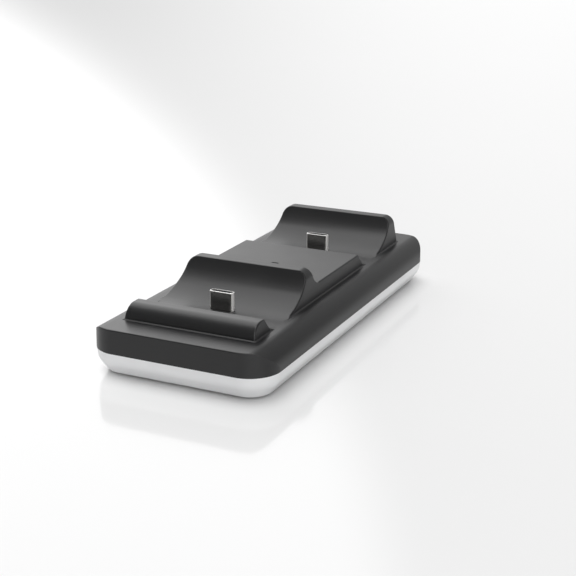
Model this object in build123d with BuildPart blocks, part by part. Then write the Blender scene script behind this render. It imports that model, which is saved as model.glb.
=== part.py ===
from build123d import *
import os
from math import radians, tan

# Twin charging dock for game controllers. A pale base tray and a dark cover, which has both cradles
# moulded in, close round one long circuit board with two upright charging plugs and a power inlet.
# Frame: millimetres, +Z up, +Y to the back, origin on the table under the middle of the dock.

# Housing, seen from above
dock_width = 61.0
dock_length = 135.5
corner_radius = 9.8

# Housing heights, from the table up
foot_standoff = 0.8
base_height = 7.05
cover_height = 7.6

# Base tray section: a steep flank under the seam, then a bevel down to the floor
shell_wall = 2.0
flank_height = 3.2
flank_draft = 7.0
bevel_draft = 35.0
bevel_blend = 5.0
base_edge_round = 0.6

# Cover section: drafted walls with rounded shoulders along the two long sides
cover_draft = 1.5
shoulder_radius = 6.4
deck_edge_round = 0.4

# Tongue of the base tray inside the cover's rim
tongue_thickness = 0.9
tongue_height = 1.5
seam_clearance = 0.15

# Deck left free round the cradles
front_strip = 9.84
rear_strip = 11.08
side_strip = 1.9

# Cradle section along the dock: reaches from the plug, heights from the deck
lip_height = 4.6
lip_reach = 21.2
lip_edge_round = 0.7
throat_reach = 13.9
throat_slope = 57.0
throat_blend = 5.0
trough_depth = 0.1
rise_reach = 3.2
rise_radius = 27.5
rise_angle = 31.5
back_reach = 16.7
back_height = 10.2
back_land = 4.0
back_draft = 7.0
plateau_blend = 4.0

# Cradle section across the dock, and the small flare round its foot
side_draft = 7.0
back_corner = 3.4
cradle_edge_round = 0.5
flare_reach = 0.45
flare_draft = 60.0

# Charging plugs
plug_width = 8.25
plug_thickness = 2.4
plug_rise = 5.85
plug_shell_wall = 0.3
plug_tip_round = 0.2
plug_clearance = 0.15
plug_base_width = 10.8
plug_base_depth = 4.8
plug_base_gap = 0.35
plug_base_chamfer = 0.35
plug_socket_depth = 3.0
insulator_clearance = 0.02
insulator_setback = 0.2
mouth_width = 6.7
mouth_height = 1.1
mouth_depth = 6.0

# Contact strips of the plugs and of the inlet
contact_count = 6
contact_pitch = 1.0
contact_width = 0.3
contact_thickness = 0.12
contact_setback = 1.0

# Power inlet in the rear end wall
inlet_width = 8.94
inlet_height = 3.26
inlet_length = 7.35
inlet_shell_wall = 0.3
inlet_setback = 0.6
inlet_clearance = 0.3
inlet_back = 2.2
inlet_tongue_width = 6.7
inlet_tongue_height = 0.7
inlet_tongue_setback = 0.8

# Circuit board
board_side_gap = 1.4
board_thickness = 1.6
board_front_reach = 10.8
board_end_gap = 1.0
board_corner = 1.5
board_post_diameter = 5.0
board_hole_inset = 3.5
board_front_row = 4.0
board_rear_row = 10.0

# Parts soldered to the board
controller_width = 6.0
controller_length = 10.0
controller_height = 1.6
switch_width = 4.0
switch_length = 5.0
switch_height = 1.5
switch_offset = 10.0
chip_gap = 1.0
chip_chamfer = 0.25
lead_width = 0.4
lead_pitch = 1.27
lead_reach = 0.8
lead_thickness = 0.25
capacitor_diameter = 6.3
capacitor_height = 4.4
capacitor_base_height = 0.7
capacitor_round = 0.3
capacitor_offset = 10.8
passive_width = 1.25
passive_length = 2.0
passive_height = 0.8
passive_pitch = 3.2
passive_count = 4
passive_offset = 6.0
led_width = 3.2
led_length = 1.6
led_height = 1.1

# Light pipe between the lamp and the plateau
window_y = 0.15
window_width = 2.6
window_depth = 0.9
window_clearance = 0.05
window_setback = 0.12
pipe_collar = 0.9
pipe_collar_height = 1.0
pipe_stem = 0.4
pipe_gap = 0.3

# Case screws, from below through the base tray into the posts of the cover
case_screw_side_inset = 13.5
case_screw_end_inset = 18.75
case_screw_diameter = 2.6
case_screw_length = 8.0
case_head_diameter = 4.6
case_head_height = 1.8
case_head_sink = 3.5
case_recess_length = 2.8
case_post_diameter = 5.2
case_boss_wall = 1.0
boss_gap = 0.2
head_clearance = 0.3
hole_clearance = 0.15
thread_clearance = 0.05
tip_clearance = 0.5

# Board screws, from above through the board into its posts
board_screw_diameter = 2.0
board_screw_length = 5.0
board_head_diameter = 3.8
board_head_height = 1.4
board_recess_length = 2.3

# Cross recess in every screw head
recess_width = 0.7
recess_depth = 0.7

# Rubber feet and the ribs on the base tray's floor
foot_diameter = 9.0
foot_side_inset = 10.5
foot_end_inset = 10.75
foot_sink = 0.9
foot_clearance = 0.1
foot_round = 0.4
rib_thickness = 1.2
rib_height = 1.5
rib_side_inset = 10.5
rib_end_inset = 25.75

# Levels that follow from the sizes above
seam_z = foot_standoff + base_height
deck_z = seam_z + cover_height
floor_z = foot_standoff + shell_wall
ceiling_z = deck_z - shell_wall
plateau_underside_z = deck_z + lip_height - shell_wall
board_top_z = seam_z + inlet_clearance
board_bottom_z = board_top_z - board_thickness
plug_tip_z = deck_z + plug_rise
plug_base_top_z = ceiling_z - plug_base_gap
plug_foot_z = plug_base_top_z - plug_socket_depth
post_z = seam_z + boss_gap
case_head_z = foot_standoff + case_head_sink
case_pilot_depth = case_head_z + case_screw_length + tip_clearance - post_z
inlet_middle_z = board_top_z + inlet_height / 2

# Places that follow from the sizes above
tongue_inset = shell_wall - tongue_thickness
cradle_width = dock_width - 2 * (shoulder_radius + side_strip)
cradle_length = dock_length - front_strip - rear_strip
cradle_front = front_strip - dock_length / 2
cradle_rear = dock_length / 2 - rear_strip
cradle_middle = (cradle_front + cradle_rear) / 2
back_fall = back_height * tan(radians(back_draft))
front_plug_y = cradle_front + lip_reach
rear_plug_y = cradle_rear - back_fall - back_land - back_reach
plug_places = {"front": front_plug_y, "rear": rear_plug_y}
front_switch_y = front_plug_y + switch_offset
rear_switch_y = rear_plug_y - switch_offset
controller_y = rear_switch_y - (switch_length + controller_length) / 2 - chip_gap
case_screw_span_x = dock_width - 2 * case_screw_side_inset
case_screw_span_y = dock_length - 2 * case_screw_end_inset
case_boss_radius = case_head_diameter / 2 + head_clearance + case_boss_wall
board_width = case_screw_span_x - 2 * (case_boss_radius + board_side_gap)
board_front = front_plug_y - board_front_reach
board_rear = dock_length / 2 - shell_wall - board_end_gap
board_length = board_rear - board_front
board_middle = (board_rear + board_front) / 2
board_rows = (board_front + board_front_row, board_rear - board_rear_row)
board_columns = (board_hole_inset - board_width / 2, board_width / 2 - board_hole_inset)
inlet_face_y = dock_length / 2 - inlet_setback
foot_span_x = dock_width - 2 * foot_side_inset
foot_span_y = dock_length - 2 * foot_end_inset
rib_span = dock_width - 2 * rib_side_inset
rib_length = dock_length - 2 * rib_end_inset
match_tolerance = 0.01

# Upright planes at deck level: one along the dock, one across it behind its rear end
length_plane = Plane((0, 0, deck_z), x_dir=(0, 1, 0), z_dir=(1, 0, 0))
width_plane = Plane((0, dock_length, deck_z), x_dir=(1, 0, 0), z_dir=(0, -1, 0))

os.makedirs("parts", exist_ok=True)


def corners_at(sketch, height, places):
    """Corners of a sketch at one height whose place along it is in a list."""

    def is_wanted(corner):
        near = any(abs(corner.X - place) < match_tolerance for place in places)
        return near and abs(corner.Y - height) < match_tolerance

    return sketch.vertices().filter_by(is_wanted)


def tray_form(inset):
    """Closed form of the base tray, drawn in by one inset at its sides, ends and floor."""
    bend_z = seam_z - flank_height
    with BuildPart() as form:
        with BuildSketch(Plane.XY.offset(seam_z)):
            RectangleRounded(dock_width - 2 * inset, dock_length - 2 * inset, corner_radius - inset)
        extrude(amount=-flank_height, taper=flank_draft)
        extrude(
            to_extrude=form.faces().sort_by(Axis.Z)[0],
            amount=base_height - flank_height - inset,
            taper=bevel_draft,
        )
        bend = form.edges().filter_by_position(Axis.Z, bend_z - match_tolerance, bend_z + match_tolerance)
        fillet(bend, bevel_blend)
        fillet(form.faces().sort_by(Axis.Z)[0].edges(), base_edge_round)
    return form.part


def cover_form(inset):
    """Closed form of the cover without its cradles, drawn in by one inset at its sides, ends and deck."""
    half_width = dock_width / 2 - inset
    height = cover_height - inset
    lean = height * tan(radians(cover_draft))
    with BuildPart() as form:
        with BuildSketch(Plane.XY.offset(seam_z)):
            RectangleRounded(2 * half_width, dock_length - 2 * inset, corner_radius - inset)
        extrude(amount=height, taper=cover_draft)
        fillet(form.faces().sort_by(Axis.Z)[-1].edges(), deck_edge_round)
        with BuildSketch(Plane.XZ.offset(-dock_length)) as shoulders:
            with BuildLine():
                Polyline(
                    (-half_width, seam_z),
                    (lean - half_width, seam_z + height),
                    (half_width - lean, seam_z + height),
                    (half_width, seam_z),
                    close=True,
                )
            make_face()
            fillet(shoulders.vertices().group_by(Axis.Y)[-1], shoulder_radius - inset)
        extrude(amount=2 * dock_length, mode=Mode.INTERSECT)
    return form.part


def cradle_section(foot):
    """Section of both cradles along the dock: lip, throat, trough, curved back and plateau."""
    throat_run = (lip_height + trough_depth) / tan(radians(throat_slope))
    lip_corners = [plug_y - throat_reach for plug_y in plug_places.values()]
    throat_corners = [corner + throat_run for corner in lip_corners]
    plateau_front = front_plug_y + back_reach + back_land
    plateau_rear = rear_plug_y - throat_reach
    plateau_corner = plateau_front + (back_height - lip_height) * tan(radians(back_draft))
    with BuildSketch() as section:
        for plug_y in plug_places.values():
            with BuildLine():
                lip = JernArc((plug_y - lip_reach, 0), (0, 1), lip_height, -90)
                trough_start = (plug_y - throat_reach + throat_run, -trough_depth)
                trough_end = (plug_y - rise_reach, -trough_depth)
                Polyline(lip @ 1, (plug_y - throat_reach, lip_height), trough_start, trough_end)
                rise = JernArc(trough_end, (1, 0), rise_radius, rise_angle)
                back = TangentArc(rise @ 1, (plug_y + back_reach, back_height), tangent=rise % 1)
                land_end = plug_y + back_reach + back_land
                Polyline(
                    back @ 1,
                    (land_end, back_height),
                    (land_end + back_fall, 0),
                    (land_end + back_fall, foot),
                    (plug_y - lip_reach, foot),
                    lip @ 0,
                )
            make_face()
        with Locations(((plateau_front + plateau_rear) / 2, (lip_height + foot) / 2)):
            Rectangle(plateau_rear - plateau_front, lip_height - foot)
        fillet(corners_at(section, lip_height, [plateau_corner]), plateau_blend)
        fillet(corners_at(section, lip_height, lip_corners), lip_edge_round)
        fillet(corners_at(section, -trough_depth, throat_corners), throat_blend)
    return section.sketch


def cradle_form(inset, depth):
    """Raised form of both cradles, drawn in by one inset, down to a depth below the deck."""
    foot = -depth - inset
    half_top = cradle_width / 2 - back_height * tan(radians(side_draft))
    half_foot = cradle_width / 2 - foot * tan(radians(side_draft))
    section = cradle_section(foot)
    with BuildPart() as form:
        with BuildSketch(length_plane):
            add(section)
            offset(amount=-inset)
        extrude(amount=dock_width / 2, both=True)
        with BuildSketch(width_plane) as ends:
            with BuildLine():
                Polyline(
                    (-half_foot, foot),
                    (-half_top, back_height),
                    (half_top, back_height),
                    (half_foot, foot),
                    close=True,
                )
            make_face()
            fillet(ends.vertices().group_by(Axis.Y)[-1], back_corner)
            offset(amount=-inset)
        extrude(amount=2 * dock_length, mode=Mode.INTERSECT)
    return form.part


def flare_form():
    """Low flare round the foot of the cradles, open where the troughs run out to the deck."""
    rise = 2 * flare_reach / tan(radians(flare_draft))
    section = cradle_section(-shell_wall)
    with BuildPart() as form:
        with BuildSketch(Plane((0, cradle_middle, deck_z))):
            Rectangle(cradle_width + 2 * flare_reach, cradle_length + 2 * flare_reach)
        extrude(amount=rise, taper=flare_draft)
        with BuildSketch(length_plane):
            add(section)
            with Locations((cradle_middle, rise / 2)):
                with GridLocations(cradle_length, 0, 2, 1):
                    Rectangle(2 * flare_reach, rise)
        extrude(amount=dock_width / 2, both=True, mode=Mode.INTERSECT)
    return form.part


def is_cradle_edge(edge):
    """True for the outer edges of the raised cradles, which the mould leaves slightly round."""
    middle = edge @ 0.5
    direction = edge % 0.5
    height = middle.Z - deck_z
    if abs(direction.X) > 1 - match_tolerance:
        return abs(height - back_height) < match_tolerance
    if abs(direction.Y) > 1 - match_tolerance:
        return abs(height - lip_height) < match_tolerance
    inside_foot = abs(middle.X) < cradle_width / 2 and middle.Y > cradle_front - match_tolerance
    return height > match_tolerance and inside_foot


# Lower shell: flank, bevel and floor, with the tongue that locates the cover
tray_outside = tray_form(0)
tray_inside = tray_form(shell_wall)
with BuildPart() as base_tray:
    add(tray_outside)
    add(tray_inside, mode=Mode.SUBTRACT)
    with BuildSketch(Plane.XY.offset(seam_z - tongue_thickness)):
        RectangleRounded(
            dock_width - 2 * tongue_inset, dock_length - 2 * tongue_inset, corner_radius - tongue_inset
        )
        RectangleRounded(
            dock_width - 2 * shell_wall,
            dock_length - 2 * shell_wall,
            corner_radius - shell_wall,
            mode=Mode.SUBTRACT,
        )
    extrude(amount=tongue_thickness + tongue_height)
    with BuildSketch(Plane.XY.offset(floor_z)):
        with GridLocations(case_screw_span_x, case_screw_span_y, 2, 2):
            Circle(case_boss_radius)
    extrude(amount=seam_z - floor_z)
    with BuildSketch(Plane.XY.offset(floor_z)):
        for row in board_rows:
            for column in board_columns:
                with Locations((column, row)):
                    Circle(board_post_diameter / 2)
        for plug_y in plug_places.values():
            with Locations((0, plug_y)):
                Rectangle(plug_base_width, plug_base_depth)
    extrude(amount=board_bottom_z - floor_z)
    with BuildSketch(Plane.XY.offset(floor_z)):
        with GridLocations(rib_span, 0, 2, 1):
            Rectangle(rib_thickness, rib_length)
        with GridLocations(0, rib_length / 2, 1, 3):
            Rectangle(rib_span, rib_thickness)
    extrude(amount=rib_height)
    with BuildSketch(Plane.XY.offset(foot_standoff)):
        with GridLocations(foot_span_x, foot_span_y, 2, 2):
            Circle(foot_diameter / 2 + foot_clearance)
    extrude(amount=foot_sink, mode=Mode.SUBTRACT)
    with BuildSketch(Plane.XY.offset(foot_standoff)):
        with GridLocations(case_screw_span_x, case_screw_span_y, 2, 2):
            Circle(case_head_diameter / 2 + head_clearance)
    extrude(amount=case_head_sink, mode=Mode.SUBTRACT)
    with BuildSketch(Plane.XY.offset(foot_standoff)):
        with GridLocations(case_screw_span_x, case_screw_span_y, 2, 2):
            Circle(case_screw_diameter / 2 + hole_clearance)
    extrude(amount=base_height, mode=Mode.SUBTRACT)
    with BuildSketch(Plane.XY.offset(board_bottom_z)):
        for row in board_rows:
            for column in board_columns:
                with Locations((column, row)):
                    Circle(board_screw_diameter / 2 + thread_clearance)
    extrude(amount=board_thickness - board_screw_length - tip_clearance, mode=Mode.SUBTRACT)
    with BuildSketch(Plane.XY.offset(seam_z)):
        with Locations((0, dock_length / 2 - shell_wall)):
            Rectangle(inlet_width + 2 * inlet_clearance, 2 * shell_wall)
    extrude(amount=tongue_height, mode=Mode.SUBTRACT)
base_tray.part.label = "base_tray"
export_step(base_tray.part, "parts/base_tray.step")

# Tool body for the hollow inside of the cradles, which leaves the screw posts standing
hollow_form = cradle_form(shell_wall, 2 * shell_wall)
with BuildPart() as cradle_hollow:
    add(hollow_form)
    with BuildSketch(Plane.XY.offset(post_z)):
        with GridLocations(case_screw_span_x, case_screw_span_y, 2, 2):
            Circle(case_post_diameter / 2)
    extrude(amount=cover_height + back_height, mode=Mode.SUBTRACT)

# Raised cradles with their outer edges rounded, as they stand on the cover's deck
raised_form = cradle_form(0, shell_wall)
with BuildPart() as cradles:
    add(raised_form)
    fillet(cradles.edges().filter_by(is_cradle_edge), cradle_edge_round)

# Upper shell in one moulding: rounded shoulders, both cradles, screw posts, rim rabbet and inlet notch
cover_outside = cover_form(0)
cover_inside = cover_form(shell_wall)
flare = flare_form()
with BuildPart() as top_cover:
    add(cover_outside)
    with BuildSketch(Plane((0, cradle_middle, deck_z))):
        Rectangle(cradle_width - 2 * cradle_edge_round, cradle_length)
    extrude(amount=-trough_depth, mode=Mode.SUBTRACT)
    add(cradles.part)
    add(flare)
    add(cover_inside, mode=Mode.SUBTRACT)
    add(cradle_hollow.part, mode=Mode.SUBTRACT)
    with BuildSketch(Plane.XY.offset(post_z)):
        with GridLocations(case_screw_span_x, case_screw_span_y, 2, 2):
            Circle(case_post_diameter / 2)
    extrude(amount=ceiling_z - post_z)
    with BuildSketch(Plane.XY.offset(post_z)):
        with GridLocations(case_screw_span_x, case_screw_span_y, 2, 2):
            Circle(case_screw_diameter / 2 + thread_clearance)
    extrude(amount=case_pilot_depth, mode=Mode.SUBTRACT)
    with BuildSketch(Plane.XY.offset(ceiling_z - shell_wall)):
        for plug_y in plug_places.values():
            with Locations((0, plug_y)):
                SlotOverall(plug_width + 2 * plug_clearance, plug_thickness + 2 * plug_clearance)
        with Locations((0, window_y)):
            SlotOverall(window_width + 2 * window_clearance, window_depth + 2 * window_clearance)
    extrude(amount=cover_height + back_height, mode=Mode.SUBTRACT)
    with BuildSketch(Plane.XY.offset(seam_z)):
        RectangleRounded(
            dock_width - 2 * (tongue_inset - seam_clearance),
            dock_length - 2 * (tongue_inset - seam_clearance),
            corner_radius - tongue_inset + seam_clearance,
        )
    extrude(amount=tongue_height + seam_clearance, mode=Mode.SUBTRACT)
    with BuildSketch(Plane.XZ.offset(-dock_length / 2 - shell_wall)):
        with Locations((0, inlet_middle_z)):
            SlotOverall(inlet_width + 2 * inlet_clearance, inlet_height + 2 * inlet_clearance)
        with Locations((0, (seam_z + inlet_middle_z) / 2)):
            Rectangle(inlet_width + 2 * inlet_clearance, inlet_middle_z - seam_z)
    extrude(amount=3 * shell_wall, mode=Mode.SUBTRACT)
top_cover.part.label = "top_cover"
export_step(top_cover.part, "parts/top_cover.step")

# Long circuit board on the posts of the base tray
with BuildPart() as main_board:
    with BuildSketch(Plane.XY.offset(board_bottom_z)):
        with Locations((0, board_middle)):
            RectangleRounded(board_width, board_length, board_corner)
        for row in board_rows:
            for column in board_columns:
                with Locations((column, row)):
                    Circle(board_screw_diameter / 2 + hole_clearance, mode=Mode.SUBTRACT)
    extrude(amount=board_thickness)
main_board.part.label = "main_board"
export_step(main_board.part, "parts/main_board.step")

# Upright charging plugs: moulded base, drawn shell, insulator and contact strips
for place, plug_y in plug_places.items():
    with BuildPart() as plug_base:
        with BuildSketch(Plane((0, plug_y, board_top_z))):
            Rectangle(plug_base_width, plug_base_depth)
        extrude(amount=plug_base_top_z - board_top_z)
        chamfer(plug_base.faces().sort_by(Axis.Z)[-1].edges(), plug_base_chamfer)
        with BuildSketch(Plane((0, plug_y, plug_foot_z))):
            SlotOverall(plug_width + 2 * insulator_clearance, plug_thickness + 2 * insulator_clearance)
        extrude(amount=plug_socket_depth, mode=Mode.SUBTRACT)
    plug_base.part.label = f"{place}_plug_base"
    export_step(plug_base.part, f"parts/{place}_plug_base.step")

    with BuildPart() as plug_shell:
        with BuildSketch(Plane((0, plug_y, plug_foot_z))):
            SlotOverall(plug_width, plug_thickness)
        extrude(amount=plug_tip_z - plug_foot_z)
        fillet(plug_shell.faces().sort_by(Axis.Z)[-1].edges(), plug_tip_round)
        with BuildSketch(Plane((0, plug_y, plug_foot_z))):
            SlotOverall(plug_width - 2 * plug_shell_wall, plug_thickness - 2 * plug_shell_wall)
        extrude(amount=plug_tip_z - plug_foot_z, mode=Mode.SUBTRACT)
    plug_shell.part.label = f"{place}_plug_shell"
    export_step(plug_shell.part, f"parts/{place}_plug_shell.step")

    with BuildPart() as plug_insulator:
        with BuildSketch(Plane((0, plug_y, plug_foot_z))):
            SlotOverall(
                plug_width - 2 * (plug_shell_wall + insulator_clearance),
                plug_thickness - 2 * (plug_shell_wall + insulator_clearance),
            )
        extrude(amount=plug_tip_z - insulator_setback - plug_foot_z)
        with BuildSketch(Plane((0, plug_y, plug_tip_z - insulator_setback))):
            Rectangle(mouth_width, mouth_height)
        extrude(amount=-mouth_depth, mode=Mode.SUBTRACT)
    plug_insulator.part.label = f"{place}_plug_insulator"
    export_step(plug_insulator.part, f"parts/{place}_plug_insulator.step")

    with BuildPart() as plug_contacts:
        with BuildSketch(Plane((0, plug_y, plug_tip_z - insulator_setback - mouth_depth))):
            with GridLocations(contact_pitch, mouth_height - contact_thickness, contact_count, 2):
                Rectangle(contact_width, contact_thickness)
        extrude(amount=mouth_depth - contact_setback)
    plug_contacts.part.label = f"{place}_plug_contacts"
    export_step(plug_contacts.part, f"parts/{place}_plug_contacts.step")

# Power inlet: drawn shell, moulded tongue and its contact strips, with the mouth facing the back
inlet_plane = Plane((0, inlet_face_y, inlet_middle_z), x_dir=(1, 0, 0), z_dir=(0, -1, 0))
with BuildPart() as inlet_shell:
    with BuildSketch(inlet_plane):
        SlotOverall(inlet_width, inlet_height)
    extrude(amount=inlet_length)
    with BuildSketch(inlet_plane):
        SlotOverall(inlet_width - 2 * inlet_shell_wall, inlet_height - 2 * inlet_shell_wall)
    extrude(amount=inlet_length, mode=Mode.SUBTRACT)
inlet_shell.part.label = "inlet_shell"
export_step(inlet_shell.part, "parts/inlet_shell.step")

with BuildPart() as inlet_insulator:
    with BuildSketch(inlet_plane.offset(inlet_length - inlet_back)):
        SlotOverall(
            inlet_width - 2 * (inlet_shell_wall + insulator_clearance),
            inlet_height - 2 * (inlet_shell_wall + insulator_clearance),
        )
    extrude(amount=inlet_back)
    with BuildSketch(inlet_plane.offset(inlet_tongue_setback)):
        Rectangle(inlet_tongue_width, inlet_tongue_height)
    extrude(amount=inlet_length - inlet_back - inlet_tongue_setback)
inlet_insulator.part.label = "inlet_insulator"
export_step(inlet_insulator.part, "parts/inlet_insulator.step")

with BuildPart() as inlet_contacts:
    with BuildSketch(inlet_plane.offset(inlet_length - inlet_back)):
        with GridLocations(contact_pitch, inlet_tongue_height + contact_thickness, contact_count, 2):
            Rectangle(contact_width, contact_thickness)
    extrude(amount=inlet_tongue_setback + contact_setback + inlet_back - inlet_length)
inlet_contacts.part.label = "inlet_contacts"
export_step(inlet_contacts.part, "parts/inlet_contacts.step")

# Chips on the board: a moulded body with leads along its two long sides
chip_places = {
    "charge_controller": (controller_y, controller_width, controller_length, controller_height),
    "front_power_switch": (front_switch_y, switch_width, switch_length, switch_height),
    "rear_power_switch": (rear_switch_y, switch_width, switch_length, switch_height),
}
for chip_name, (chip_y, chip_width, chip_length, chip_height) in chip_places.items():
    with BuildPart() as chip:
        with BuildSketch(Plane((0, chip_y, board_top_z + lead_thickness))):
            Rectangle(chip_width, chip_length)
        extrude(amount=chip_height - lead_thickness)
        chamfer(chip.faces().sort_by(Axis.Z)[-1].edges(), chip_chamfer)
        with BuildSketch(Plane((0, chip_y, board_top_z))):
            with GridLocations(0, lead_pitch, 1, int(chip_length / lead_pitch)):
                Rectangle(chip_width + 2 * lead_reach, lead_width)
        extrude(amount=2 * lead_thickness)
    chip.part.label = chip_name
    export_step(chip.part, f"parts/{chip_name}.step")

# Round storage capacitor between the rear plug and the inlet
with BuildPart() as storage_capacitor:
    with BuildSketch(Plane((0, rear_plug_y + capacitor_offset, board_top_z))):
        Rectangle(capacitor_diameter, capacitor_diameter)
    extrude(amount=capacitor_base_height)
    with BuildSketch(Plane((0, rear_plug_y + capacitor_offset, board_top_z))):
        Circle(capacitor_diameter / 2)
    extrude(amount=capacitor_height)
    fillet(storage_capacitor.faces().sort_by(Axis.Z)[-1].edges(), capacitor_round)
storage_capacitor.part.label = "storage_capacitor"
export_step(storage_capacitor.part, "parts/storage_capacitor.step")

# Small chip resistors and capacitors in two columns beside the lamp
with BuildPart() as board_passives:
    with BuildSketch(Plane((0, window_y, board_top_z))):
        with GridLocations(2 * passive_offset, passive_pitch, 2, passive_count):
            Rectangle(passive_length, passive_width)
    extrude(amount=passive_height)
board_passives.part.label = "board_passives"
export_step(board_passives.part, "parts/board_passives.step")

# Lamp under the light pipe
with BuildPart() as indicator_led:
    with BuildSketch(Plane((0, window_y, board_top_z))):
        Rectangle(led_width, led_length)
    extrude(amount=led_height)
indicator_led.part.label = "indicator_led"
export_step(indicator_led.part, "parts/indicator_led.step")

# Light pipe: a stem over the lamp, a collar under the plateau and the tip in its window
with BuildPart() as light_pipe:
    with BuildSketch(Plane((0, window_y, board_top_z + led_height + pipe_gap))):
        SlotOverall(window_width + 2 * pipe_stem, window_depth + 2 * pipe_stem)
    extrude(amount=plateau_underside_z - board_top_z - led_height - pipe_gap)
    with BuildSketch(Plane((0, window_y, plateau_underside_z - pipe_collar_height))):
        SlotOverall(window_width + 2 * pipe_collar, window_depth + 2 * pipe_collar)
    extrude(amount=pipe_collar_height)
    with BuildSketch(Plane((0, window_y, plateau_underside_z))):
        SlotOverall(window_width, window_depth)
    extrude(amount=shell_wall - window_setback)
light_pipe.part.label = "light_pipe"
export_step(light_pipe.part, "parts/light_pipe.step")

# Rubber feet in their recesses
foot_places = {
    "left_front_foot": (-foot_span_x / 2, -foot_span_y / 2),
    "right_front_foot": (foot_span_x / 2, -foot_span_y / 2),
    "left_rear_foot": (-foot_span_x / 2, foot_span_y / 2),
    "right_rear_foot": (foot_span_x / 2, foot_span_y / 2),
}
for foot_name, (foot_x, foot_y) in foot_places.items():
    with BuildPart() as foot:
        with BuildSketch(Plane((foot_x, foot_y, 0))):
            Circle(foot_diameter / 2)
        extrude(amount=foot_standoff + foot_sink)
        fillet(foot.faces().sort_by(Axis.Z)[0].edges(), foot_round)
    foot.part.label = foot_name
    export_step(foot.part, f"parts/{foot_name}.step")

# Case screws, heads down in the sunk holes of the base tray
with BuildPart() as case_screws:
    with BuildSketch(Plane.XY.offset(case_head_z - case_head_height)):
        with GridLocations(case_screw_span_x, case_screw_span_y, 2, 2):
            Circle(case_head_diameter / 2)
    extrude(amount=case_head_height)
    with BuildSketch(Plane.XY.offset(case_head_z)):
        with GridLocations(case_screw_span_x, case_screw_span_y, 2, 2):
            Circle(case_screw_diameter / 2)
    extrude(amount=case_screw_length)
    with BuildSketch(Plane.XY.offset(case_head_z - case_head_height)):
        with GridLocations(case_screw_span_x, case_screw_span_y, 2, 2):
            Rectangle(case_recess_length, recess_width)
            Rectangle(recess_width, case_recess_length)
    extrude(amount=recess_depth, mode=Mode.SUBTRACT)
case_screws.part.label = "case_screws"
export_step(case_screws.part, "parts/case_screws.step")

# Board screws, heads up on the board
with BuildPart() as board_screws:
    for row in board_rows:
        for column in board_columns:
            with BuildSketch(Plane((column, row, board_top_z))):
                Circle(board_head_diameter / 2)
            extrude(amount=board_head_height)
            with BuildSketch(Plane((column, row, board_top_z))):
                Circle(board_screw_diameter / 2)
            extrude(amount=-board_screw_length)
            with BuildSketch(Plane((column, row, board_top_z + board_head_height))):
                Rectangle(board_recess_length, recess_width)
                Rectangle(recess_width, board_recess_length)
            extrude(amount=-recess_depth, mode=Mode.SUBTRACT)
board_screws.part.label = "board_screws"
export_step(board_screws.part, "parts/board_screws.step")
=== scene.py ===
"""Looks of a twin charging dock for game controllers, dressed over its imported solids.

Sizes are metres in the dock's own frame: +Z up, +Y to the back, origin on the table under its middle.
"""

from __future__ import annotations

import logging
import math
from dataclasses import dataclass, replace
from enum import Enum
from typing import Protocol

import bpy
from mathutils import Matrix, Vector

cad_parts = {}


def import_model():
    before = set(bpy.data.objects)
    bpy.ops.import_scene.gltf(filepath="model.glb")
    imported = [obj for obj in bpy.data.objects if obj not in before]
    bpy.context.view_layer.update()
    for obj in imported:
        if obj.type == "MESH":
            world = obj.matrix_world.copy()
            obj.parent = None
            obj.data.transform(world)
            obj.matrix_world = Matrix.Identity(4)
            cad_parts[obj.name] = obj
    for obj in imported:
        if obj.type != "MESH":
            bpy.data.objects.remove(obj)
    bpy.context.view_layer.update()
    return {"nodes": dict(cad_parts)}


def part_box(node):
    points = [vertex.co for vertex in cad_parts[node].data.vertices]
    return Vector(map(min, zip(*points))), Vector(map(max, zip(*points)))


LOG = logging.getLogger("charging_dock")
MILLIMETRE = 0.001
MICROMETRE = 0.000001

Colour = tuple[float, float, float]
Point = tuple[float, float, float]

NICKEL: Colour = (0.62, 0.61, 0.585)
DULL_NICKEL: Colour = (0.54, 0.53, 0.5)


class Run(Enum):
    """Directions in which a process leaves its marks on a surface, as stretches of a texture."""

    EVEN = (1.0, 1.0, 1.0)
    ALONG_HEIGHT = (1.0, 1.0, 0.04)
    ALONG_LENGTH = (1.0, 0.04, 1.0)


class Finish(Protocol):
    """Anything that makes a material for a surface."""

    def material(self) -> bpy.types.Material:
        """Return the finish as a material."""


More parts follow.
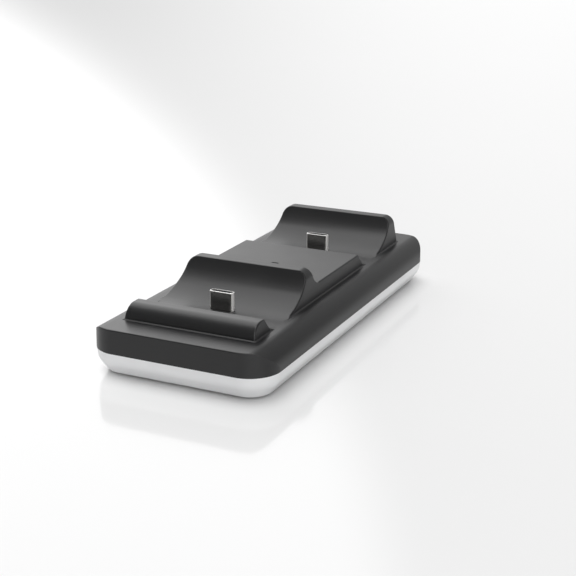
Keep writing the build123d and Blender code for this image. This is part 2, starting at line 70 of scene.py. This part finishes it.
class FinishGraph:
    """Node tree of one finish: textures placed in the dock's frame, joined to one principled shader."""

    def __init__(self, name: str) -> None:
        """Start a tree with a shader and its output.

        Args:
            name: Name of the material.
        """
        self.material = bpy.data.materials.new(name)
        self.material.use_nodes = True
        self.tree = self.material.node_tree
        self.tree.nodes.clear()
        self.output = self.tree.nodes.new("ShaderNodeOutputMaterial")
        self.shader = self.tree.nodes.new("ShaderNodeBsdfPrincipled")
        self.join(self.shader.outputs["BSDF"], self.output.inputs["Surface"])
        self.place = self.tree.nodes.new("ShaderNodeTexCoord").outputs["Object"]

    def join(self, source: bpy.types.NodeSocket, target: bpy.types.NodeSocket) -> None:
        """Link an output socket to an input socket."""
        self.tree.links.new(source, target)

    def put(self, socket: bpy.types.NodeSocket, value: object) -> None:
        """Give an input socket a link or a plain value.

        Args:
            socket: Input socket to fill.
            value: Output socket to join, or a number, colour or vector to set.
        """
        if isinstance(value, bpy.types.NodeSocket):
            self.join(value, socket)
        elif isinstance(value, tuple) and socket.type == "RGBA":
            socket.default_value = (*value, 1.0)
        else:
            socket.default_value = value

    def settle(self, **values: object) -> None:
        """Fill sockets of the shader, named with underscores for spaces."""
        for name, value in values.items():
            self.put(self.shader.inputs[name.replace("_", " ").title().replace("Ior", "IOR")], value)

    def noise(self, grain: float, detail: float = 2.0, run: Run = Run.EVEN) -> bpy.types.NodeSocket:
        """Add a cloudy texture.

        Args:
            grain: Size of its clouds in metres.
            detail: How many finer octaves it has.
            run: Direction in which the clouds are drawn out.

        Returns:
            Its value, from 0 to 1.
        """
        stretch = self.tree.nodes.new("ShaderNodeMapping")
        self.put(stretch.inputs["Vector"], self.place)
        stretch.inputs["Scale"].default_value = run.value
        texture = self.tree.nodes.new("ShaderNodeTexNoise")
        self.put(texture.inputs["Vector"], stretch.outputs["Vector"])
        texture.inputs["Scale"].default_value = 1.0 / grain
        texture.inputs["Detail"].default_value = detail
        return texture.outputs["Fac"]

    def cells(self, size: float) -> bpy.types.NodeSocket:
        """Add a texture of rounded cells.

        Args:
            size: Distance from cell to cell in metres.

        Returns:
            Distance from the middle of the nearest cell, as a share of the size.
        """
        texture = self.tree.nodes.new("ShaderNodeTexVoronoi")
        self.put(texture.inputs["Vector"], self.place)
        texture.inputs["Scale"].default_value = 1.0 / size
        return texture.outputs["Distance"]

    def spread(
        self, value: bpy.types.NodeSocket, low: float, high: float, start: float = 0.3, end: float = 0.7
    ) -> bpy.types.NodeSocket:
        """Map a texture's value to a range.

        Args:
            value: Texture value.
            low: Result at and below start.
            high: Result at and above end.
            start: Texture value that gives low.
            end: Texture value that gives high.

        Returns:
            The mapped value.
        """
        node = self.tree.nodes.new("ShaderNodeMapRange")
        self.put(node.inputs["Value"], value)
        node.inputs["From Min"].default_value = start
        node.inputs["From Max"].default_value = end
        node.inputs["To Min"].default_value = low
        node.inputs["To Max"].default_value = high
        return node.outputs["Result"]

    def blend(self, share: bpy.types.NodeSocket, first: object, second: object) -> bpy.types.NodeSocket:
        """Blend two colours.

        Args:
            share: Part of the second colour, from 0 to 1.
            first: Colour, or a socket that gives one.
            second: Colour, or a socket that gives one.

        Returns:
            The blended colour.
        """
        node = self.tree.nodes.new("ShaderNodeMix")
        node.data_type = "RGBA"
        self.put(node.inputs["Factor"], share)
        colours = [socket for socket in node.inputs if socket.type == "RGBA"]
        self.put(colours[0], first)
        self.put(colours[1], second)
        return next(socket for socket in node.outputs if socket.type == "RGBA")

    def relief(
        self, height: bpy.types.NodeSocket, depth: float, under: bpy.types.NodeSocket | None = None
    ) -> bpy.types.NodeSocket:
        """Turn a texture into a fine relief.

        Args:
            height: Texture value, from 0 to 1.
            depth: Height of the relief in metres.
            under: Normal of a relief that this one lies on.

        Returns:
            The new surface normal.
        """
        node = self.tree.nodes.new("ShaderNodeBump")
        node.inputs["Distance"].default_value = depth
        self.put(node.inputs["Height"], height)
        if under is not None:
            self.put(node.inputs["Normal"], under)
        return node.outputs["Normal"]

    def axis(self, name: str) -> bpy.types.NodeSocket:
        """Read one coordinate of the place on the surface.

        Args:
            name: X, Y or Z.

        Returns:
            The coordinate in metres.
        """
        node = self.tree.nodes.new("ShaderNodeSeparateXYZ")
        self.put(node.inputs["Vector"], self.place)
        return node.outputs[name]

    def sum(self, operation: str, first: object, second: object = 0.0) -> bpy.types.NodeSocket:
        """Work out one arithmetic step on texture values.

        Args:
            operation: Name of the step.
            first: Number, or a socket that gives one.
            second: Number, or a socket that gives one.

        Returns:
            The result.
        """
        node = self.tree.nodes.new("ShaderNodeMath")
        node.operation = operation
        self.put(node.inputs[0], first)
        self.put(node.inputs[1], second)
        return node.outputs["Value"]

    def whiten(self, share: float, reach: float, shut: float = 0.4, clear: float = 0.95) -> None:
        """Fade the surface towards plain white where it is seen, directly or in a gloss; near what stands
        on it the white is held back, which paints a contact shadow.

        Args:
            share: Part of white in what is seen of the open surface, from 0 to 1. The light that the
                surface gives off to others stays as it is.
            reach: How far from what stands on the surface the white thins out into a painted contact
                shadow, in metres.
            shut: Openness to the room, from 0 to 1, at which there is no white.
            clear: Openness at which there is the full share.
        """
        path = self.tree.nodes.new("ShaderNodeLightPath").outputs
        seen = self.sum("MAXIMUM", path["Is Camera Ray"], path["Is Glossy Ray"])
        seen = self.sum("MAXIMUM", seen, path["Is Transmission Ray"])
        # Painted contact shadow: ambient occlusion holds back the white near what stands on the surface.
        openness = self.tree.nodes.new("ShaderNodeAmbientOcclusion")
        openness.inputs["Distance"].default_value = reach
        amount = self.spread(openness.outputs["AO"], 0.0, share, shut, clear)
        white = self.tree.nodes.new("ShaderNodeEmission")
        faded = self.tree.nodes.new("ShaderNodeMixShader")
        self.join(self.sum("MULTIPLY", seen, amount), faded.inputs[0])
        self.join(self.shader.outputs["BSDF"], faded.inputs[1])
        self.join(white.outputs["Emission"], faded.inputs[2])
        self.join(faded.outputs["Shader"], self.output.inputs["Surface"])


@dataclass(frozen=True)
class MouldedPlastic:
    """Satin moulded plastic: a spark-eroded grain, faint clouds of gloss and a slight drift of colour."""

    name: str
    colour: Colour
    drift: Colour
    roughness: float
    gloss_drift: float
    grain: float
    grain_depth: float
    cloud: float = 14.0 * MILLIMETRE
    polish: float = 0.0
    polish_roughness: float = 0.2
    cloud_detail: float = 4.0
    grain_detail: float = 3.0

    def material(self) -> bpy.types.Material:
        """Build the finish.

        Returns:
            Its material.
        """
        graph = FinishGraph(self.name)
        clouds = graph.noise(self.cloud, self.cloud_detail)
        grain = graph.noise(self.grain, self.grain_detail)
        low, high = self.roughness - self.gloss_drift, self.roughness + self.gloss_drift
        graph.settle(
            base_color=graph.blend(graph.spread(clouds, 0.0, 1.0), self.colour, self.drift),
            roughness=graph.spread(clouds, low, high),
            normal=graph.relief(grain, self.grain_depth),
            coat_weight=self.polish,
            coat_roughness=self.polish_roughness,
        )
        return graph.material


@dataclass(frozen=True)
class PlatedMetal:
    """Plated sheet metal with fine drawing marks along one direction and faint clouds of tarnish."""

    name: str
    colour: Colour
    tarnish: Colour
    roughness: float
    mark_width: float
    mark_depth: float
    run: Run
    cloud: float = 1.5 * MILLIMETRE
    detail: float = 3.0
    gloss_swing: float = 0.2
    tarnish_start: float = 0.45
    tarnish_end: float = 0.8

    def material(self) -> bpy.types.Material:
        """Build the finish.

        Returns:
            Its material.
        """
        graph = FinishGraph(self.name)
        self.plate(graph)
        return graph.material

    def plate(self, graph: FinishGraph) -> bpy.types.NodeSocket:
        """Lay the plating on a tree.

        Args:
            graph: Tree of the finish.

        Returns:
            Colour of the plating.
        """
        marks = graph.noise(self.mark_width, self.detail, self.run)
        clouds = graph.noise(self.cloud, self.detail)
        dulled = graph.spread(clouds, 0.0, 1.0, self.tarnish_start, self.tarnish_end)
        colour = graph.blend(dulled, self.colour, self.tarnish)
        smooth, rough = (1.0 - self.gloss_swing) * self.roughness, (1.0 + self.gloss_swing) * self.roughness
        graph.settle(
            base_color=colour,
            metallic=1.0,
            roughness=graph.spread(marks, smooth, rough),
            normal=graph.relief(marks, self.mark_depth),
        )
        return colour


@dataclass(frozen=True)
class PlatingWithPaintedHighlight(PlatedMetal):
    """Plating of an upright plug whose ends and tip are painted pale and less metallic: a painted highlight
    along them, also standing for satin wear where sockets slide.
    """

    # Pale colour and low metallic of the painted highlight along the ends and tip.
    rubbed_highlight: Colour = (0.9, 0.89, 0.87)
    highlight_metallic: float = 0.3
    end: float = 0.0
    tip: float = 0.0
    edge: float = 0.1 * MILLIMETRE

    def material(self) -> bpy.types.Material:
        """Build the finish.

        Returns:
            Its material.
        """
        graph = FinishGraph(self.name)
        plating = self.plate(graph)
        # Painted highlight: past the end across X and past the tip up Z, the plating turns pale and less
        # metallic.
        side = graph.sum("ABSOLUTE", graph.axis("X"))
        ends = graph.spread(side, 0.0, 1.0, self.end, self.end + self.edge)
        tips = graph.spread(graph.axis("Z"), 0.0, 1.0, self.tip, self.tip + self.edge)
        highlight_band = graph.sum("MAXIMUM", ends, tips)
        graph.settle(
            base_color=graph.blend(highlight_band, plating, self.rubbed_highlight),
            metallic=graph.spread(highlight_band, 1.0, self.highlight_metallic, 0.0, 1.0),
        )
        return graph.material


@dataclass(frozen=True)
class Rubber:
    """Soft rubber with a dusty bloom and a matte skin."""

    name: str
    colour: Colour
    bloom: Colour
    dust: float = 0.9 * MILLIMETRE
    dust_detail: float = 5.0
    dust_start: float = 0.5
    dust_end: float = 0.85
    skin: float = 0.12 * MILLIMETRE
    skin_depth: float = 12.0 * MICROMETRE
    smooth: float = 0.72
    rough: float = 0.86

    def material(self) -> bpy.types.Material:
        """Build the finish.

        Returns:
            Its material.
        """
        graph = FinishGraph(self.name)
        dust = graph.noise(self.dust, self.dust_detail)
        dusty = graph.spread(dust, 0.0, 1.0, self.dust_start, self.dust_end)
        graph.settle(
            base_color=graph.blend(dusty, self.colour, self.bloom),
            roughness=graph.spread(dust, self.smooth, self.rough),
            normal=graph.relief(graph.noise(self.skin), self.skin_depth),
        )
        return graph.material


@dataclass(frozen=True)
class Laminate:
    """Glass laminate under a green solder mask, with darker copper-free lanes and small plated holes."""

    name: str
    mask: Colour
    lane: Colour
    hole: Colour
    lane_width: float
    hole_pitch: float
    lane_share: float = 0.2
    lane_edge: float = 0.06
    lane_depth: float = 20.0 * MICROMETRE
    bend_size: float = 9.0 * MILLIMETRE
    bend_reach: float = 1.5
    hole_share: float = 0.08
    hole_edge: float = 0.03
    weave: float = 0.35 * MILLIMETRE
    weave_depth: float = 6.0 * MICROMETRE
    smooth: float = 0.28
    rough: float = 0.4

    def material(self) -> bpy.types.Material:
        """Build the finish.

        Returns:
            Its material.
        """
        graph = FinishGraph(self.name)
        lanes = self.lanes(graph)
        rim = self.hole_share + self.hole_edge
        holes = graph.spread(graph.cells(self.hole_pitch), 1.0, 0.0, self.hole_share, rim)
        green = graph.blend(lanes, self.mask, self.lane)
        weave = graph.noise(self.weave, detail=1.0)
        graph.settle(
            base_color=graph.blend(holes, green, self.hole),
            metallic=holes,
            roughness=graph.spread(weave, self.smooth, self.rough),
            normal=graph.relief(weave, self.weave_depth, graph.relief(lanes, self.lane_depth)),
        )
        return graph.material

    def lanes(self, graph: FinishGraph) -> bpy.types.NodeSocket:
        """Draw lanes between the tracks along the board, bent here and there.

        Args:
            graph: Tree of the finish.

        Returns:
            1 in a lane and 0 on the copper.
        """
        bend = graph.spread(graph.noise(self.bend_size, detail=0.0), -self.bend_reach, self.bend_reach)
        across = graph.sum("DIVIDE", graph.axis("X"), self.lane_width)
        wave = graph.sum("FRACT", graph.sum("ADD", across, bend))
        return graph.spread(wave, 1.0, 0.0, self.lane_share, self.lane_share + self.lane_edge)


@dataclass(frozen=True)
class TwoTone:
    """Small fired part whose two ends are tinned, in two columns either side of the dock's middle."""

    name: str
    body: Colour
    tin: Colour
    column: float
    half_body: float
    tin_edge: float = 0.05 * MILLIMETRE
    speckle: float = 0.2 * MILLIMETRE
    speckle_detail: float = 3.0
    speckle_share: float = 0.35
    speckle_depth: float = 8.0 * MICROMETRE
    smooth: float = 0.32
    rough: float = 0.5

    def material(self) -> bpy.types.Material:
        """Build the finish.

        Returns:
            Its material.
        """
        graph = FinishGraph(self.name)
        side = graph.sum("ABSOLUTE", graph.axis("X"))
        offset = graph.sum("ABSOLUTE", graph.sum("SUBTRACT", side, self.column))
        start, end = self.half_body - self.tin_edge, self.half_body + self.tin_edge
        tinned = graph.spread(offset, 0.0, 1.0, start, end)
        speckle = graph.noise(self.speckle, self.speckle_detail)
        fired = graph.blend(graph.spread(speckle, 0.0, self.speckle_share), self.body, self.tin)
        graph.settle(
            base_color=graph.blend(tinned, fired, self.tin),
            metallic=tinned,
            roughness=graph.spread(speckle, self.smooth, self.rough),
            normal=graph.relief(speckle, self.speckle_depth),
        )
        return graph.material


@dataclass(frozen=True)
class TintedLens:
    """Clear moulded lens with a tint and faint flow lines."""

    name: str
    tint: Colour
    clearness: float
    roughness: float
    gloss: float = 0.5
    flow: float = 0.6 * MILLIMETRE
    flow_depth: float = 3.0 * MICROMETRE
    deepening: float = 0.7
    gloss_swing: float = 0.2

    def material(self) -> bpy.types.Material:
        """Build the finish.

        Returns:
            Its material.
        """
        graph = FinishGraph(self.name)
        flow = graph.noise(self.flow, run=Run.ALONG_HEIGHT)
        deep = tuple(self.deepening * channel for channel in self.tint)
        smooth, rough = (1.0 - self.gloss_swing) * self.roughness, (1.0 + self.gloss_swing) * self.roughness
        graph.settle(
            base_color=graph.blend(graph.spread(flow, 0.0, 1.0), self.tint, deep),
            transmission_weight=self.clearness,
            specular_ior_level=self.gloss,
            roughness=graph.spread(flow, smooth, rough),
            normal=graph.relief(flow, self.flow_depth),
        )
        return graph.material


TRAY_PLASTIC = MouldedPlastic(
    name="tray_plastic",
    colour=(0.85, 0.855, 0.86),
    drift=(0.82, 0.825, 0.835),
    roughness=0.42,
    gloss_drift=0.03,
    grain=0.16 * MILLIMETRE,
    grain_depth=4.0 * MICROMETRE,
    polish=0.8,
)
COVER_PLASTIC = MouldedPlastic(
    name="cover_plastic",
    colour=(0.0085, 0.0085, 0.009),
    drift=(0.0105, 0.0105, 0.011),
    roughness=0.38,
    gloss_drift=0.015,
    grain=0.18 * MILLIMETRE,
    grain_depth=5.0 * MICROMETRE,
)
INSULATOR_PLASTIC = MouldedPlastic(
    name="insulator_plastic",
    colour=(0.012, 0.012, 0.013),
    drift=(0.018, 0.018, 0.019),
    roughness=0.55,
    gloss_drift=0.06,
    grain=0.12 * MILLIMETRE,
    grain_depth=8.0 * MICROMETRE,
    cloud=1.2 * MILLIMETRE,
)
CHIP_EPOXY = MouldedPlastic(
    name="chip_epoxy",
    colour=(0.018, 0.018, 0.018),
    drift=(0.026, 0.025, 0.024),
    roughness=0.62,
    gloss_drift=0.05,
    grain=0.1 * MILLIMETRE,
    grain_depth=6.0 * MICROMETRE,
    cloud=1.5 * MILLIMETRE,
)
PLUG_METAL = PlatingWithPaintedHighlight(
    name="plug_metal",
    colour=NICKEL,
    tarnish=DULL_NICKEL,
    roughness=0.2,
    mark_width=0.09 * MILLIMETRE,
    mark_depth=1.5 * MICROMETRE,
    run=Run.ALONG_HEIGHT,
)
INLET_METAL = PlatedMetal(
    name="inlet_metal",
    colour=NICKEL,
    tarnish=DULL_NICKEL,
    roughness=0.24,
    mark_width=0.09 * MILLIMETRE,
    mark_depth=1.5 * MICROMETRE,
    run=Run.ALONG_LENGTH,
)
CONTACT_METAL = PlatedMetal(
    name="contact_metal",
    colour=(0.83, 0.6, 0.26),
    tarnish=(0.72, 0.5, 0.2),
    roughness=0.24,
    mark_width=0.06 * MILLIMETRE,
    mark_depth=1.0 * MICROMETRE,
    run=Run.ALONG_HEIGHT,
)
CAPACITOR_CAN = PlatedMetal(
    name="capacitor_can",
    colour=(0.72, 0.72, 0.73),
    tarnish=(0.6, 0.6, 0.62),
    roughness=0.3,
    mark_width=0.15 * MILLIMETRE,
    mark_depth=3.0 * MICROMETRE,
    run=Run.ALONG_HEIGHT,
)
SCREW_STEEL = PlatedMetal(
    name="screw_steel",
    colour=(0.42, 0.42, 0.43),
    tarnish=(0.34, 0.33, 0.31),
    roughness=0.34,
    mark_width=0.2 * MILLIMETRE,
    mark_depth=4.0 * MICROMETRE,
    run=Run.EVEN,
)
FOOT_RUBBER = Rubber(name="foot_rubber", colour=(0.022, 0.022, 0.022), bloom=(0.05, 0.05, 0.048))
BOARD_LAMINATE = Laminate(
    name="board_laminate",
    mask=(0.016, 0.13, 0.05),
    lane=(0.008, 0.065, 0.028),
    hole=(0.72, 0.55, 0.25),
    lane_width=1.6 * MILLIMETRE,
    hole_pitch=5.5 * MILLIMETRE,
)
PASSIVE_CERAMIC = TwoTone(
    name="passive_ceramic",
    body=(0.4, 0.3, 0.2),
    tin=(0.7, 0.69, 0.66),
    column=6.0 * MILLIMETRE,
    half_body=0.62 * MILLIMETRE,
)
LAMP_LENS = TintedLens(name="lamp_lens", tint=(0.85, 0.82, 0.62), clearness=0.6, roughness=0.15)
SMOKED_LENS = TintedLens(
    name="smoked_lens", tint=(0.002, 0.002, 0.0022), clearness=0.15, roughness=0.5, gloss=0.06
)


@dataclass
class Assembly:
    """A group of the dock's pieces that is dressed together."""

    nodes: dict[str, bpy.types.Object]
    crease: float = 35.0

    def dress(self, finish: Finish, *names: str, crease: float | None = None) -> None:
        """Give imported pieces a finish.

        Args:
            finish: Finish whose material they take.
            names: Names of the pieces.
            crease: Angle between faces, in degrees, past which an edge stays sharp. Left out, it is the
                group's own.
        """
        material = finish.material()
        for name in names:
            piece = self.nodes[name]
            piece.data.materials.clear()
            piece.data.materials.append(material)
            self.even_out(piece, self.crease if crease is None else crease)
            LOG.info("%s wears %s", name, material.name)

    def even_out(self, piece: bpy.types.Object, crease: float) -> None:
        """Carry smooth shading across the seams between a piece's patches, up to its creases.

        Args:
            piece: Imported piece, whose patches are shaded apart.
            crease: Angle between faces, in degrees, past which an edge stays sharp.
        """
        seam = piece.modifiers.new("seams", "WELD")
        seam.merge_threshold = MICROMETRE
        split = piece.modifiers.new("creases", "EDGE_SPLIT")
        split.split_angle = math.radians(crease)
        split.use_edge_sharp = False
        piece.modifiers.new("shading", "WEIGHTED_NORMAL")


@dataclass
class Housing(Assembly):
    """Pale base tray, dark cover with its cradles, and the rubber feet."""

    tray_crease: float = 12.0
    cover_crease: float = 20.0
    feet: tuple[str, ...] = ("left_front_foot", "right_front_foot", "left_rear_foot", "right_rear_foot")

    def finish(self) -> None:
        """Dress the two mouldings and the feet."""
        self.dress(TRAY_PLASTIC, "base_tray", crease=self.tray_crease)
        self.dress(COVER_PLASTIC, "top_cover", crease=self.cover_crease)
        self.dress(FOOT_RUBBER, *self.feet)


@dataclass
class Connectors(Assembly):
    """Two upright charging plugs and the power inlet."""

    places: tuple[str, ...] = ("front", "rear")
    # Inset from the shells' ends and tip at which the painted highlight band starts.
    highlight_end_inset: float = 0.5 * MILLIMETRE
    highlight_tip_inset: float = 0.2 * MILLIMETRE

    def finish(self) -> None:
        """Dress shells, insulators and contact strips."""
        shells = [f"{place}_plug_shell" for place in self.places]
        insulators = [f"{place}_plug_insulator" for place in self.places]
        bases = [f"{place}_plug_base" for place in self.places]
        contacts = [f"{place}_plug_contacts" for place in self.places]
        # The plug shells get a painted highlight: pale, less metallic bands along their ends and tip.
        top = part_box(shells[0])[1]
        rubbed_highlight = replace(PLUG_METAL, end=top[0] - self.highlight_end_inset, tip=top[2] - self.highlight_tip_inset)
        self.dress(rubbed_highlight, *shells)
        self.dress(INLET_METAL, "inlet_shell")
        self.dress(INSULATOR_PLASTIC, *insulators, *bases, "inlet_insulator")
        self.dress(CONTACT_METAL, *contacts, "inlet_contacts")


@dataclass
class Electronics(Assembly):
    """Circuit board with what is soldered to it, and the lamp's light pipe."""

    chips: tuple[str, ...] = ("charge_controller", "front_power_switch", "rear_power_switch")

    def finish(self) -> None:
        """Dress the board, its parts and the light pipe."""
        self.dress(BOARD_LAMINATE, "main_board")
        self.dress(CHIP_EPOXY, *self.chips)
        self.dress(CAPACITOR_CAN, "storage_capacitor")
        self.dress(PASSIVE_CERAMIC, "board_passives")
        self.dress(LAMP_LENS, "indicator_led")
        self.dress(SMOKED_LENS, "light_pipe")


@dataclass
class Fasteners(Assembly):
    """Screws that join the housing and hold the board."""

    groups: tuple[str, ...] = ("case_screws", "board_screws")

    def finish(self) -> None:
        """Dress both groups of screws."""
        self.dress(SCREW_STEEL, *self.groups)


@dataclass(frozen=True)
class Glow:
    """Soft round light in the studio's surroundings, far from the dock, with its angles in degrees."""

    name: str
    azimuth: float
    elevation: float
    core: float
    rim: float
    radiance: float

    def way(self) -> Vector:
        """Return the direction from the dock to the middle of the light."""
        turn, rise = math.radians(self.azimuth), math.radians(self.elevation)
        return Vector((math.sin(turn) * math.cos(rise), -math.cos(turn) * math.cos(rise), math.sin(rise)))

    def shine(self, tree: bpy.types.NodeTree, outlook: bpy.types.NodeSocket) -> bpy.types.NodeSocket:
        """Draw the light in the surroundings.

        Args:
            tree: Node tree of the surroundings.
            outlook: Direction that is looked in.

        Returns:
            Radiance of this light in that direction.
        """
        nearness = tree.nodes.new("ShaderNodeVectorMath")
        nearness.name = self.name
        nearness.operation = "DOT_PRODUCT"
        tree.links.new(outlook, nearness.inputs[0])
        nearness.inputs[1].default_value = self.way()
        fade = tree.nodes.new("ShaderNodeMapRange")
        fade.interpolation_type = "SMOOTHSTEP"
        tree.links.new(nearness.outputs["Value"], fade.inputs["Value"])
        fade.inputs["From Min"].default_value = math.cos(math.radians(self.rim))
        fade.inputs["From Max"].default_value = math.cos(math.radians(self.core))
        fade.inputs["To Max"].default_value = self.radiance
        return fade.outputs["Result"]


@dataclass
class Studio:
    """Pale floor, soft surroundings and the camera."""

    floor_size: float = 8.0
    floor_colour: Colour = (0.74, 0.74, 0.74)
    floor_roughness: float = 0.1
    floor_white: float = 0.45
    contact_shadow_reach: float = 8.0 * MILLIMETRE
    room_radiance: float = 0.24
    eye: Point = (0.1701, -0.3450, 0.1393)
    target: Point = (0.00489, 0.0, 0.01193)
    lens: float = 75.33
    sensor: float = 36.0
    glows: tuple[Glow, ...] = (
        Glow("back_left", azimuth=237.0, elevation=32.0, core=29.0, rim=33.0, radiance=2.15),
        Glow("front_right", azimuth=41.0, elevation=32.0, core=27.5, rim=36.0, radiance=1.75),
        Glow("overhead", azimuth=240.0, elevation=82.0, core=8.0, rim=16.0, radiance=6.0),
        Glow("back_low", azimuth=183.0, elevation=0.0, core=9.5, rim=35.5, radiance=0.85),
    )

    def lay_floor(self) -> None:
        """Lay the floor under the dock, outside the object."""
        graph = FinishGraph("floor")
        graph.settle(base_color=self.floor_colour, roughness=self.floor_roughness)
        graph.whiten(self.floor_white, self.contact_shadow_reach)
        mesh = bpy.data.meshes.new("floor")
        half = self.floor_size / 2
        corners = [(-half, -half, 0.0), (half, -half, 0.0), (half, half, 0.0), (-half, half, 0.0)]
        mesh.from_pydata(corners, [], [(0, 1, 2, 3)])
        mesh.materials.append(graph.material)
        floor = bpy.data.objects.new("floor", mesh)
        bpy.context.scene.collection.objects.link(floor)

    def light(self) -> None:
        """Light the room evenly and add the glows to it."""
        world = bpy.data.worlds.new("studio")
        world.use_nodes = True
        tree = world.node_tree
        outlook = tree.nodes.new("ShaderNodeTexCoord").outputs["Generated"]
        background = tree.nodes["Background"]
        background.inputs["Color"].default_value = (1.0, 1.0, 1.0, 1.0)
        rest = background.inputs["Strength"]
        for glow in self.glows:
            joined = tree.nodes.new("ShaderNodeMath")
            joined.operation = "ADD"
            tree.links.new(glow.shine(tree, outlook), joined.inputs[0])
            tree.links.new(joined.outputs["Value"], rest)
            rest = joined.inputs[1]
        rest.default_value = self.room_radiance
        bpy.context.scene.world = world

    def place_camera(self) -> None:
        """Place the camera at the photograph's viewing angle."""
        lens = bpy.data.cameras.new("camera")
        lens.lens = self.lens
        lens.sensor_width = self.sensor
        camera = bpy.data.objects.new("camera", lens)
        camera.location = self.eye
        camera.rotation_euler = (Vector(self.target) - Vector(self.eye)).to_track_quat("-Z", "Y").to_euler()
        bpy.context.scene.collection.objects.link(camera)
        bpy.context.scene.camera = camera

    def set_up(self) -> None:
        """Make the whole studio."""
        bpy.context.scene.view_settings.view_transform = "Standard"
        self.lay_floor()
        self.light()
        self.place_camera()


def main() -> None:
    """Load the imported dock, dress each sub-assembly and set up the studio."""
    logging.basicConfig(level=logging.INFO, format="%(name)s: %(message)s")
    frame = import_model()
    for group in (Housing, Connectors, Electronics, Fasteners):
        group(frame["nodes"]).finish()
    Studio().set_up()


if __name__ == "__main__":
    main()
